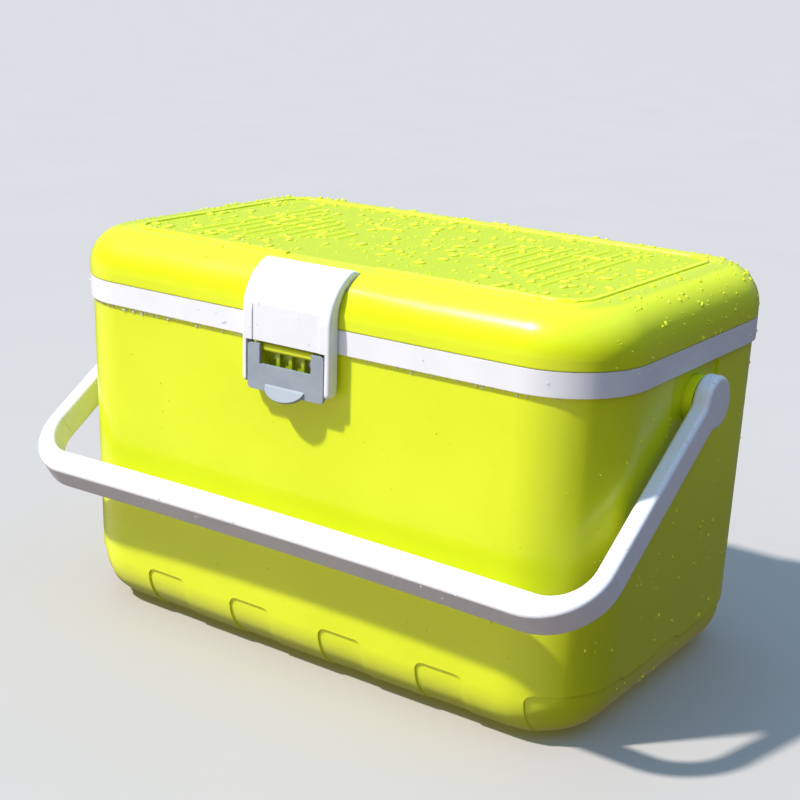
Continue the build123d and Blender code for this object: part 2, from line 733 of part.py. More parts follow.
# Grey lever: notched plate, two ears on the pins and the finger tab
with BuildPart() as latch_lever:
    plate_middle = (lever_top + lever_bottom) / 2
    with BuildSketch(Plane.XZ.offset(lever_back)) as lever_plan:
        with Locations((0, plate_middle)):
            RectangleRounded(2 * lever_half_width, lever_top - lever_bottom, lever_corner)
        with Locations((0, (notch_bottom + lever_top) / 2 + lever_corner)):
            Rectangle(
                notch_width,
                lever_top - notch_bottom + 2 * lever_corner,
                mode=Mode.SUBTRACT,
            )
    extrude(amount=lever_plate)
    ear_height = lever_top - lever_bottom - 2 * lever_corner
    for side in (-1, 1):
        with BuildSketch(Plane.XZ.offset(lever_back - lever_ear_depth)):
            with Locations((side * (lever_half_width - lever_ear / 2), plate_middle)):
                Rectangle(lever_ear, ear_height)
        extrude(amount=lever_ear_depth)
    tab_plane = Plane(
        origin=(0, -lever_face, lever_bottom + tab_reach / 2),
        x_dir=(1, 0, 0),
        z_dir=(0, -cos(radians(tab_lean)), sin(radians(tab_lean))),
    )
    with BuildSketch(tab_plane):
        Ellipse(tab_width / 2, tab_reach)
        with Locations((0, tab_reach)):
            Rectangle(tab_width, 2 * tab_reach, mode=Mode.SUBTRACT)
    extrude(amount=-lever_plate)
    with BuildSketch(Plane.YZ):
        with Locations((lever_pivot_y, lever_pivot_level)):
            Circle(lever_pin_radius + running_gap)
    extrude(amount=latch_width, both=True, mode=Mode.SUBTRACT)
finish(latch_lever, "latch_lever")

# The lever's two short pins
with BuildPart() as lever_pins:
    pin_inner = lever_half_width - lever_ear - 2 * fit_gap
    pin_outer = rail_inside + lever_pin_seat - fit_gap
    for side in (-1, 1):
        pin_origin = (side * pin_inner, lever_pivot_y, lever_pivot_level)
        with BuildSketch(Plane(origin=pin_origin, z_dir=(side, 0, 0))):
            Circle(lever_pin_radius)
        extrude(amount=pin_outer - pin_inner)
finish(lever_pins, "lever_pins")

# Carry handle: a flat bail in its own plane, whose X axis is the line of the pivots
handle_plane = Plane(
    origin=(0, 0, handle_pivot_level),
    x_dir=(1, 0, 0),
    z_dir=(0, -sin(radians(handle_angle)), cos(radians(handle_angle))),
)


def bail_outline(half_width, reach, corner):
    """Outline from the line of the pivots out to the grip, with two round bends."""
    with BuildSketch() as plan:
        with BuildLine():
            Polyline((-half_width, -reach), (-half_width, 0), (half_width, 0), (half_width, -reach))
            ThreePointArc((half_width, -reach), (0, handle_bow - reach), (-half_width, -reach))
        make_face()
        fillet(plan.vertices().group_by(Axis.Y)[0], corner)
    return plan.sketch


# Round heads of the handle, each with a neck that widens out of its arm
arm_direction = (0, -cos(radians(handle_angle)), -sin(radians(handle_angle)))
with BuildPart() as handle_heads:
    for side in (-1, 1):
        head_plane = Plane(
            origin=(side * arm_face, 0, handle_pivot_level),
            x_dir=arm_direction,
            z_dir=(side, 0, 0),
        )
        with BuildSketch(head_plane) as head_plan:
            Circle(handle_head_radius)
            Rectangle(handle_neck_length, handle_thickness, align=(Align.MIN, Align.CENTER))
            neck_corners = head_plan.vertices().group_by(Axis.X)[0]
            fillet(neck_corners, handle_neck_radius)
        extrude(amount=handle_arm_thickness)

# Stubs that turn in the bushes, each with a groove for its clip
stub_length = arm_face + handle_arm_thickness / 2 - stub_end
for side, name in ((-1, "handle_stub_left"), (1, "handle_stub_right")):
    stub_plane = Plane(origin=(side * stub_end, 0, handle_pivot_level), z_dir=(side, 0, 0))
    clip_plane = Plane(origin=(side * clip_face, 0, handle_pivot_level), z_dir=(side, 0, 0))
    with BuildPart() as handle_stub:
        with BuildSketch(stub_plane):
            Circle(stub_radius)
        extrude(amount=stub_length)
        with BuildSketch(clip_plane.offset(fit_gap)):
            Circle(stub_radius + running_gap)
            Circle(stub_radius - clip_groove_depth, mode=Mode.SUBTRACT)
        extrude(amount=-clip_thickness - 2 * fit_gap, mode=Mode.SUBTRACT)
    finish(handle_stub, name)

# The whole bail, which is the grip with its round bends and an arm at each end
with BuildPart() as bail:
    with BuildSketch(handle_plane):
        add(bail_outline(handle_face, handle_outer_radius, handle_outer_corner))
        add(
            bail_outline(arm_face, handle_inner_radius, handle_inner_corner),
            mode=Mode.SUBTRACT,
        )
    extrude(amount=handle_thickness / 2, both=True)
    add(handle_heads.part)
    flat_edges = bail.faces().filter_by(handle_plane).edges()
    fillet(flat_edges - flat_edges.filter_by(Axis.X), handle_edge_radius)

# Grip with its two round bends, seated on the ends of the arms
arm_end_plane = Plane(
    origin=(
        0,
        handle_arm_length * arm_direction[1],
        handle_pivot_level + handle_arm_length * arm_direction[2],
    ),
    x_dir=(1, 0, 0),
    z_dir=arm_direction,
)
with BuildPart() as carry_handle:
    add(bail.part)
    split(bisect_by=arm_end_plane, keep=Keep.TOP)
finish(carry_handle, "carry_handle")

# Arms of the handle, each with its head and the hole for its stub
for side, name in ((-1, "handle_arm_left"), (1, "handle_arm_right")):
    stub_plane = Plane(origin=(side * stub_end, 0, handle_pivot_level), z_dir=(side, 0, 0))
    with BuildPart() as handle_arm:
        add(bail.part)
        split(bisect_by=arm_end_plane, keep=Keep.BOTTOM)
        split(bisect_by=Plane.YZ, keep=Keep.TOP if side > 0 else Keep.BOTTOM)
        with BuildSketch(stub_plane):
            Circle(stub_radius + running_gap)
        extrude(amount=stub_length, mode=Mode.SUBTRACT)
    finish(handle_arm, name)

# Open clips in the stubs' grooves
for side, name in ((-1, "retaining_clip_left"), (1, "retaining_clip_right")):
    clip_plane = Plane(origin=(side * clip_face, 0, handle_pivot_level), z_dir=(side, 0, 0))
    with BuildPart() as retaining_clip:
        with BuildSketch(clip_plane):
            Circle(clip_radius)
            Circle(stub_radius - clip_groove_depth + running_gap, mode=Mode.SUBTRACT)
            with Locations((clip_radius, 0)):
                Rectangle(2 * clip_radius, clip_mouth, mode=Mode.SUBTRACT)
        extrude(amount=-clip_thickness)
    finish(retaining_clip, name)
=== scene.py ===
# Looks of an insulated bait box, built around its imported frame.
# Lengths are in metres, apart from the places and radii of the showers of water beads.
import math
import random

import bmesh
import bpy
from mathutils import Matrix, Vector
from mathutils.bvhtree import BVHTree


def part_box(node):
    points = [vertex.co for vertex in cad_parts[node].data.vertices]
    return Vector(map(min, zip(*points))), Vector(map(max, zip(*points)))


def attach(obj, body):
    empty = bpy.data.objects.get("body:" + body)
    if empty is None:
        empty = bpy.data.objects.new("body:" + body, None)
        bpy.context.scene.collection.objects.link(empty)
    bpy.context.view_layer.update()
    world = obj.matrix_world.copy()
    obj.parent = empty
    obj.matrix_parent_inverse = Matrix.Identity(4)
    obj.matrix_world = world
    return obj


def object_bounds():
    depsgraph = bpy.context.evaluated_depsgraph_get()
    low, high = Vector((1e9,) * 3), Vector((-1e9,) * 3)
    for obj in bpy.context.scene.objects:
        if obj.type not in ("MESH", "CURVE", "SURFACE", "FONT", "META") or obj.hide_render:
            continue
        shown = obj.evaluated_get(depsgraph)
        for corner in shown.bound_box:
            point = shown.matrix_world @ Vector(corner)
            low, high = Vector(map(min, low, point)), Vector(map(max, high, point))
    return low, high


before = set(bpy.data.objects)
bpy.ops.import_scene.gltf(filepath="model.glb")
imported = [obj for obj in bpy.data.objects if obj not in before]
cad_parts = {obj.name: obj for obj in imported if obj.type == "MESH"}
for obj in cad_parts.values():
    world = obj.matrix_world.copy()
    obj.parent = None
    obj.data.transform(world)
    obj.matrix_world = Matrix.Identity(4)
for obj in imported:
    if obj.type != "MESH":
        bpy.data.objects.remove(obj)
frameLow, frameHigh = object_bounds()
scene = bpy.context.scene
mm = 0.001
print("frame loaded:", len(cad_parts), "pieces")


# Shader maths in plain Python: a socket that adds Math nodes when it is reckoned with
class Sock:
    def __init__(self, graph, socket):
        self.graph = graph
        self.socket = socket

    def math(self, operation, *values):
        return self.graph.node("ShaderNodeMath", {"operation": operation}, dict(enumerate(values)))

    def __add__(self, other):
        return self.math("ADD", self, other)

    def __sub__(self, other):
        return self.math("SUBTRACT", self, other)

    def __rsub__(self, other):
        return self.math("SUBTRACT", other, self)

    def __mul__(self, other):
        return self.math("MULTIPLY", self, other)

    __radd__ = __add__
    __rmul__ = __mul__

    def size(self):
        return self.math("ABSOLUTE", self)

    def ramp(self, low, high):
        # 0 up to low, 1 from high and soft between
        inputs = {"Value": self, "From Min": low, "From Max": high}
        return self.graph.node("ShaderNodeMapRange", {"interpolation_type": "SMOOTHSTEP"}, inputs)


class Graph:
    # Nodes of a material or of the sky, made and joined in one way
    def __init__(self, owner, coordinates):
        owner.use_nodes = True
        self.nodes = owner.node_tree.nodes
        self.links = owner.node_tree.links
        self.place = self.node("ShaderNodeTexCoord", {}, {}, coordinates)

    def plug(self, socket, value):
        if isinstance(value, Sock):
            self.links.new(value.socket, socket)
            return
        present = socket.default_value
        lacksAlpha = hasattr(present, "__len__") and len(present) == 4 and len(value) == 3
        socket.default_value = (*value, 1.0) if lacksAlpha else value

    def node(self, kind, settings, inputs, output=0):
        made = self.nodes.new(kind)
        for name, value in settings.items():
            setattr(made, name, value)
        for name, value in inputs.items():
            self.plug(made.inputs[name], value)
        return Sock(self, made.outputs[output])

    def axes(self):
        split = self.node("ShaderNodeSeparateXYZ", {}, {0: self.place}).socket.node
        return [Sock(self, output) for output in split.outputs]

    def towards(self, direction):
        # 1 where the place lies in that direction, -1 where it lies away from it
        inputs = {0: self.place, 1: direction}
        return self.node("ShaderNodeVectorMath", {"operation": "DOT_PRODUCT"}, inputs, "Value")

    def blendColours(self, share, first, second):
        # sockets 6 and 7 are the two colours of a Mix node, and output 2 is its colour
        settings = {"data_type": "RGBA", "clamp_factor": True}
        return self.node("ShaderNodeMix", settings, {0: share, 6: first, 7: second}, 2)


class Finish(Graph):
    # One material, its Principled shader and the nodes that vary it
    def __init__(self, name, constants):
        self.material = bpy.data.materials.new(name)
        super().__init__(self.material, "Object")
        self.shader = self.nodes["Principled BSDF"]
        for socketName, value in constants.items():
            self.plug(self.shader.inputs[socketName], value)

    def noise(self, scale, detail=2.0, roughness=0.5, place=None):
        inputs = {"Vector": place or self.place, "Scale": scale, "Detail": detail, "Roughness": roughness}
        return self.node("ShaderNodeTexNoise", {}, inputs)

    def cells(self, scale):
        inputs = {"Vector": self.place, "Scale": scale}
        return self.node("ShaderNodeTexVoronoi", {}, inputs)

    def stretched(self, factors):
        inputs = {0: self.place, 1: factors}
        return self.node("ShaderNodeVectorMath", {"operation": "MULTIPLY"}, inputs)

    def softEdges(self, radius):
        return self.node("ShaderNodeBevel", {"samples": 4}, {"Radius": radius})

    def bump(self, height, strength, distance, normal=None):
        inputs = {"Height": height, "Strength": strength, "Distance": distance}
        if normal:
            inputs["Normal"] = normal
        return self.node("ShaderNodeBump", {}, inputs)

    def feed(self, **channels):
        sockets = {"colour": "Base Color", "roughness": "Roughness", "normal": "Normal"}
        for name, value in channels.items():
            self.plug(self.shader.inputs[sockets[name]], value)
        return self.material


# In all the finishes colours are linear. A noise is its scale, detail and roughness, and a span is
# the stretch of it that a ramp spreads from 0 to 1. A rise is two heights, and a reach two places
# across, between which a colour comes in or fades. A bump is its strength and depth, and an edge is
# the radius that edges are softened to.

# Lime moulded plastic, a clear glossy yellow-green
limeSpec = {
    "colour": (0.74, 0.815, 0.012),
    "deepColour": (0.70, 0.775, 0.008),
    "flow": (14.0, 3.0),  # slow drift from one colour to the other
    "flowSpan": (0.3, 0.7),
    "roughness": 0.28,
    "film": (75.0, 4.0, 0.6),  # uneven film on the gloss
    "filmSpan": (0.45, 0.8),
    "filmRoughness": 0.10,
    "waves": (22.0, 1.0),  # slow unevenness of the walls, drawn out upwards
    "waveStretch": (1.0, 1.0, 0.35),
    "waveHeight": 0.9,
    "peel": (420.0, 2.0),  # orange peel
    "peelHeight": 0.06,
    "bump": (0.55, 0.5 * mm),
    "edge": 0.5 * mm,
    "shader": {
        "IOR": 1.49,
        "Specular IOR Level": 0.30,
        "Coat Weight": 0.22,
        "Coat Roughness": 0.14,
        "Subsurface Radius": (1.5 * mm, 1.8 * mm, 0.3 * mm),
        "Subsurface Scale": 1.0,
        "Subsurface Weight": 0.45,
    },
}


def makeLime(name, layOver=None, edge=limeSpec["edge"]):
    # layOver puts a piece's own finish, with painted shade or light, over the plain plastic
    spec = limeSpec
    finish = Finish(name, spec["shader"])
    flow = finish.noise(*spec["flow"]).ramp(*spec["flowSpan"])
    film = finish.noise(*spec["film"]).ramp(*spec["filmSpan"])
    waves = finish.noise(*spec["waves"], place=finish.stretched(spec["waveStretch"]))
    peel = finish.noise(*spec["peel"])
    colour = finish.blendColours(flow, spec["colour"], spec["deepColour"])
    roughness = spec["roughness"] + film * spec["filmRoughness"]
    height = waves * spec["waveHeight"] + peel * spec["peelHeight"]
    if layOver:
        colour, roughness, height = layOver(finish, colour, roughness, height)
    normal = finish.bump(height, *spec["bump"], finish.softEdges(edge))
    return finish.feed(colour=colour, roughness=roughness, normal=normal)


# The lid's top: a matt grained panel inside the rim, painted darker, partly its own duller tone and
# partly painted shade against the stronger light on the top; its ribs are painted paler, partly their own
# tone and partly painted light on their shaded flanks; the ends outside the rim are painted darker as
# painted shade
lidSpec = {
    # panel: its own duller tone, plus a painted shade that holds back the strong light on the top
    "panelColourAndPaintedLight": (0.47, 0.56, 0.014),
    # ribs: their own paler tone, plus a painted light that lifts the shade on their flanks
    "ribColourAndPaintedLight": (0.66, 0.76, 0.014),
    # ends: a painted shade for the strong light falling on the top
    "endPaintedShade": (0.55, 0.64, 0.014),
    "panelRoughness": 0.56,
    "grainScale": 1500.0,
    "grainHeight": 0.12,
    "halfX": 0.1353,  # inside of the rim
    "halfY": 0.0699,  # in the middle of the long sides, which bow out
    "bow": 0.0874,  # how fast that half width falls with the square of x
    "fade": 0.6 * mm,
    "panelRise": (0.2074, 0.2078),  # just under the flat top, which keeps it off the underside
    "ribRise": (0.20803, 0.2083),
    "endRise": (0.2070, 0.2079),
    "endReach": (0.1383, 0.1413),  # from the middle, past the rim
    "edge": 1.0 * mm,
}


def layLidTop(finish, colour, roughness, height):
    spec = lidSpec
    x, y, z = finish.axes()
    outX = x.size().ramp(spec["halfX"] - spec["fade"], spec["halfX"])
    outY = (y.size() + x * x * spec["bow"]).ramp(spec["halfY"] - spec["fade"], spec["halfY"])
    panel = (1 - outX) * (1 - outY) * z.ramp(*spec["panelRise"])
    # painted shade on the ends of the top, outside the rim
    endShadeShare = x.size().ramp(*spec["endReach"]) * z.ramp(*spec["endRise"])
    # the panel takes painted shade, and its ribs take painted light
    panelColourAndPaintedLight = finish.blendColours(z.ramp(*spec["ribRise"]), spec["panelColourAndPaintedLight"], spec["ribColourAndPaintedLight"])
    colour = finish.blendColours(endShadeShare, colour, spec["endPaintedShade"])
    colour = finish.blendColours(panel, colour, panelColourAndPaintedLight)
    roughness = roughness + panel * (spec["panelRoughness"] - limeSpec["roughness"])
    height = height + finish.cells(spec["grainScale"]) * panel * spec["grainHeight"]
    return colour, roughness, height


# The tub's end walls are painted darker towards the foot, a painted shade for the dim light low on the
# ends
tubSpec = {
    "footPaintedShade": (0.56, 0.61, 0.006),
    "endReach": (0.148, 0.162),
    "plainRise": (0.02, 0.165),
}


def layTubEndShade(finish, colour, roughness, height):
    spec = tubSpec
    x, _, z = finish.axes()
    # painted shade, darkest low on the end walls
    footShadeShare = x.size().ramp(*spec["endReach"]) * (1 - z.ramp(*spec["plainRise"]))
    return finish.blendColours(footShadeShare, colour, spec["footPaintedShade"]), roughness, height


# The catch's plate and ribs behind its bar are painted darker, a painted shade in the recess
catchSpec = {
    "recessPaintedShade": (0.36, 0.44, 0.010),
    "recessReach": (-0.1032, -0.1026),
}


def layCatchRecessShade(finish, colour, roughness, height):
    spec = catchSpec
    _, y, _ = finish.axes()
    # painted shade on all that lies behind the bar
    behind = y.ramp(*spec["recessReach"])
    return finish.blendColours(behind, colour, spec["recessPaintedShade"]), roughness, height


# White moulded plastic, a little translucent, with fine handling marks
whiteTones = ((0.80, 0.795, 0.81), (0.765, 0.76, 0.78))
linerTones = ((0.68, 0.68, 0.69), (0.64, 0.64, 0.66))
whiteSpec = {
    "trim": {"tones": whiteTones, "roughness": 0.30, "hasFlow": True},
    "latch": {"tones": whiteTones, "roughness": 0.26, "hasFlow": False},
    "handle": {"tones": whiteTones, "roughness": 0.33, "hasFlow": True},
    "stub": {"tones": whiteTones, "roughness": 0.40, "hasFlow": False},
    "liner": {"tones": linerTones, "roughness": 0.38, "hasFlow": True},
    "tone": (38.0, 3.0),
    "toneSpan": (0.35, 0.75),
    "dullSpan": (0.3, 0.8),
    "dullRoughness": 0.07,
    "scuffs": (260.0, 3.0, 0.7),
    "scuffStretch": (0.35, 1.0, 1.6),
    "scuffSpan": (0.62, 0.72),
    "scuffRoughness": 0.12,
    "peel": (600.0, 2.0),
    "peelHeight": 0.10,
    "flow": (30.0, 1.0),  # slow waves in the larger mouldings
    "flowHeight": 0.5,
    "bump": (0.45, 0.4 * mm),
    "edge": 0.45 * mm,
    "shader": {
        "IOR": 1.49,
        "Coat Weight": 0.1,
        "Coat Roughness": 0.15,
        "Subsurface Radius": (1.2 * mm, 1.2 * mm, 1.2 * mm),
        "Subsurface Scale": 1.0,
        "Subsurface Weight": 0.3,
    },
}


def makeWhite(name, kind):
    spec = whiteSpec
    finish = Finish(name, spec["shader"])
    tone = finish.noise(*spec["tone"])
    scuffs = finish.noise(*spec["scuffs"], finish.stretched(spec["scuffStretch"]))
    colour = finish.blendColours(tone.ramp(*spec["toneSpan"]), *spec[kind]["tones"])
    dull = tone.ramp(*spec["dullSpan"]) * spec["dullRoughness"]
    scuffed = scuffs.ramp(*spec["scuffSpan"]) * spec["scuffRoughness"]
    roughness = spec[kind]["roughness"] + dull + scuffed
    height = finish.noise(*spec["peel"]) * spec["peelHeight"]
    if spec[kind]["hasFlow"]:
        height = height + finish.noise(*spec["flow"]) * spec["flowHeight"]
    normal = finish.bump(height, *spec["bump"], finish.softEdges(spec["edge"]))
    return finish.feed(colour=colour, roughness=roughness, normal=normal)


# Blue-grey plastic of the lever, finely grained, its tab darker
greySpec = {
    "tones": ((0.30, 0.34, 0.38), (0.26, 0.30, 0.34)),
    "tone": (90.0, 3.0),
    "toneSpan": (0.3, 0.7),
    "tabColour": (0.225, 0.255, 0.29),
    "tabReach": (-0.1071, -0.1063),  # the tab stands out in front of the lever's face
    "roughness": 0.34,
    "grainScale": 2200.0,
    "grainSpan": (0.2, 0.8),
    "grainRoughness": 0.08,
    "grainHeight": 0.10,
    "bump": (0.5, 0.4 * mm),
    "edge": 0.35 * mm,
    "shader": {"IOR": 1.47},
}


def makeGrey(name):
    spec = greySpec
    finish = Finish(name, spec["shader"])
    grain = finish.cells(spec["grainScale"])
    _, y, _ = finish.axes()
    tone = finish.noise(*spec["tone"]).ramp(*spec["toneSpan"])
    onTab = 1 - y.ramp(*spec["tabReach"])
    colour = finish.blendColours(onTab, finish.blendColours(tone, *spec["tones"]), spec["tabColour"])
    roughness = spec["roughness"] + grain.ramp(*spec["grainSpan"]) * spec["grainRoughness"]
    normal = finish.bump(grain * spec["grainHeight"], *spec["bump"], finish.softEdges(spec["edge"]))
    return finish.feed(colour=colour, roughness=roughness, normal=normal)


# Brushed stainless steel, its marks drawn out along the pins and the screws
steelSpec = {
    "pins": {"brush": (0.05, 1.0, 1.0), "tone": (0.62, 0.62, 0.63)},
    "latchPins": {"brush": (0.05, 1.0, 1.0), "tone": (0.60, 0.60, 0.62)},
    "screws": {"brush": (1.0, 0.3, 1.0), "tone": (0.58, 0.58, 0.58)},
    "clips": {"brush": (1.0, 0.6, 0.6), "tone": (0.50, 0.50, 0.50)},
    "stain": (160.0, 2.0),
    "stainSpan": (0.4, 0.75),
    "stainShare": 0.6,
    "stainDarker": 0.72,
    "roughness": 0.24,
    "marks": (900.0, 3.0, 0.6),
    "marksSpan": (0.3, 0.7),
    "marksRoughness": 0.16,
    "bump": (0.25, 0.2 * mm),
    "edge": 0.2 * mm,
    "shader": {"Metallic": 1.0, "IOR": 1.6},
}


def makeSteel(name, kind):
    spec = steelSpec
    tone = spec[kind]["tone"]
    finish = Finish(name, spec["shader"])
    marks = finish.noise(*spec["marks"], finish.stretched(spec[kind]["brush"]))
    stain = finish.noise(*spec["stain"]).ramp(*spec["stainSpan"])
    dark = tuple(part * spec["stainDarker"] for part in tone)
    colour = finish.blendColours(stain * spec["stainShare"], tone, dark)
    roughness = spec["roughness"] + marks.ramp(*spec["marksSpan"]) * spec["marksRoughness"]
    normal = finish.bump(marks, *spec["bump"], finish.softEdges(spec["edge"]))
    return finish.feed(colour=colour, roughness=roughness, normal=normal)


# Fine-celled rigid foam
foamSpec = {
    "tones": ((0.80, 0.77, 0.64), (0.66, 0.62, 0.49)),
    "cellScale": 420.0,
    "cellSpan": (0.1, 0.6),
    "cellHeight": 0.8,
    "roughness": 0.82,
    "pores": (1400.0, 2.0),
    "poreSpan": (0.3, 0.7),
    "poreRoughness": 0.12,
    "poreHeight": 0.2,
    "bump": (0.6, 0.8 * mm),
    "shader": {
        "IOR": 1.35,
        "Subsurface Radius": (3.0 * mm, 2.8 * mm, 2.0 * mm),
        "Subsurface Scale": 1.0,
        "Subsurface Weight": 0.1,
    },
}


def makeFoam(name):
    spec = foamSpec
    finish = Finish(name, spec["shader"])
    cells = finish.cells(spec["cellScale"])
    pores = finish.noise(*spec["pores"])
    colour = finish.blendColours(cells.ramp(*spec["cellSpan"]), *spec["tones"])
    roughness = spec["roughness"] + pores.ramp(*spec["poreSpan"]) * spec["poreRoughness"]
    normal = finish.bump(cells * spec["cellHeight"] + pores * spec["poreHeight"], *spec["bump"])
    return finish.feed(colour=colour, roughness=roughness, normal=normal)


# Soft grey seal with a faint bloom
rubberSpec = {
    "tones": ((0.16, 0.17, 0.18), (0.25, 0.26, 0.27)),
    "bloom": (120.0, 3.0),
    "bloomSpan": (0.4, 0.8),
    "roughness": 0.62,
    "dullSpan": (0.3, 0.8),
    "dullRoughness": 0.18,
    "grain": (1800.0, 2.0),
    "bump": (0.3, 0.3 * mm),
    "edge": 0.3 * mm,
    "shader": {"IOR": 1.5},
}


def makeRubber(name):
    spec = rubberSpec
    finish = Finish(name, spec["shader"])
    bloom = finish.noise(*spec["bloom"])
    colour = finish.blendColours(bloom.ramp(*spec["bloomSpan"]), *spec["tones"])
    roughness = spec["roughness"] + bloom.ramp(*spec["dullSpan"]) * spec["dullRoughness"]
    normal = finish.bump(finish.noise(*spec["grain"]), *spec["bump"], finish.softEdges(spec["edge"]))
    return finish.feed(colour=colour, roughness=roughness, normal=normal)


# Water bead: a wet skin, tinted by the plastic that it lies on and painted brighter than it, a painted
# light for the sun focused through the bead and against the shade on its far side
waterSpec = {
    # tints brighter than the plastic under them: painted light
    "lime": {"litTint": (0.90, 0.97, 0.02), "Alpha": 0.75},
    "white": {"litTint": (0.88, 0.89, 0.90), "Alpha": 0.45},
    "ripple": (700.0, 1.0),
    "rippleSpan": (0.3, 0.7),
    "brighter": 1.12,
    "lift": 0.02,
    "roughness": 0.03,
    "dullSpan": (0.4, 0.8),
    "dullRoughness": 0.03,
    "bump": (0.15, 0.3 * mm),
    "shader": {"IOR": 1.33, "Coat Weight": 1.0, "Coat Roughness": 0.03},
}


def makeWater(name, kind):
    spec = waterSpec
    litTint = spec[kind]["litTint"]
    finish = Finish(name, {**spec["shader"], "Alpha": spec[kind]["Alpha"]})
    ripple = finish.noise(*spec["ripple"])
    bright = tuple(min(1.0, part * spec["brighter"] + spec["lift"]) for part in litTint)
    colour = finish.blendColours(ripple.ramp(*spec["rippleSpan"]), litTint, bright)
    roughness = spec["roughness"] + ripple.ramp(*spec["dullSpan"]) * spec["dullRoughness"]
    normal = finish.bump(ripple, *spec["bump"])
    return finish.feed(colour=colour, roughness=roughness, normal=normal)


def dress(material, *nodeNames):
    for nodeName in nodeNames:
        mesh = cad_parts[nodeName].data
        mesh.materials.clear()
        mesh.materials.append(material)


def dressBox():
    dress(makeLime("limeTub", layTubEndShade), "outer_tub")
    dress(makeLime("limeBush"), "pivot_bush_left", "pivot_bush_right")
    dress(makeLime("limeCatch", layCatchRecessShade), "latch_strike")
    limeLid = makeLime("limeLid", layLidTop, lidSpec["edge"])
    dress(limeLid, "lid_shell", "lid_knuckle_left", "lid_knuckle_right")
    dress(makeWhite("whiteTrim", "trim"), "rim_band", "hinge_block_left", "hinge_block_right")
    dress(makeWhite("whiteLatch", "latch"), "latch_cover")
    dress(makeWhite("whiteHandle", "handle"), "carry_handle", "handle_arm_left", "handle_arm_right")
    dress(makeWhite("whiteStub", "stub"), "handle_stub_left", "handle_stub_right")
    dress(makeWhite("whiteLiner", "liner"), "inner_liner", "lid_liner")
    dress(makeGrey("greyLever"), "latch_lever")
    dress(makeFoam("foam"), "tub_insulation", "lid_insulation")
    dress(makeRubber("sealRubber"), "lid_gasket")
    dress(makeSteel("pinSteel", "pins"), "hinge_pin_left", "hinge_pin_right")
    dress(makeSteel("latchPinSteel", "latchPins"), "latch_pin", "lever_pins")
    dress(makeSteel("screwSteel", "screws"), "hinge_screws", "strike_screws")
    dress(makeSteel("clipSteel", "clips"), "retaining_clip_left", "retaining_clip_right")


dressBox()
print("finishes made")


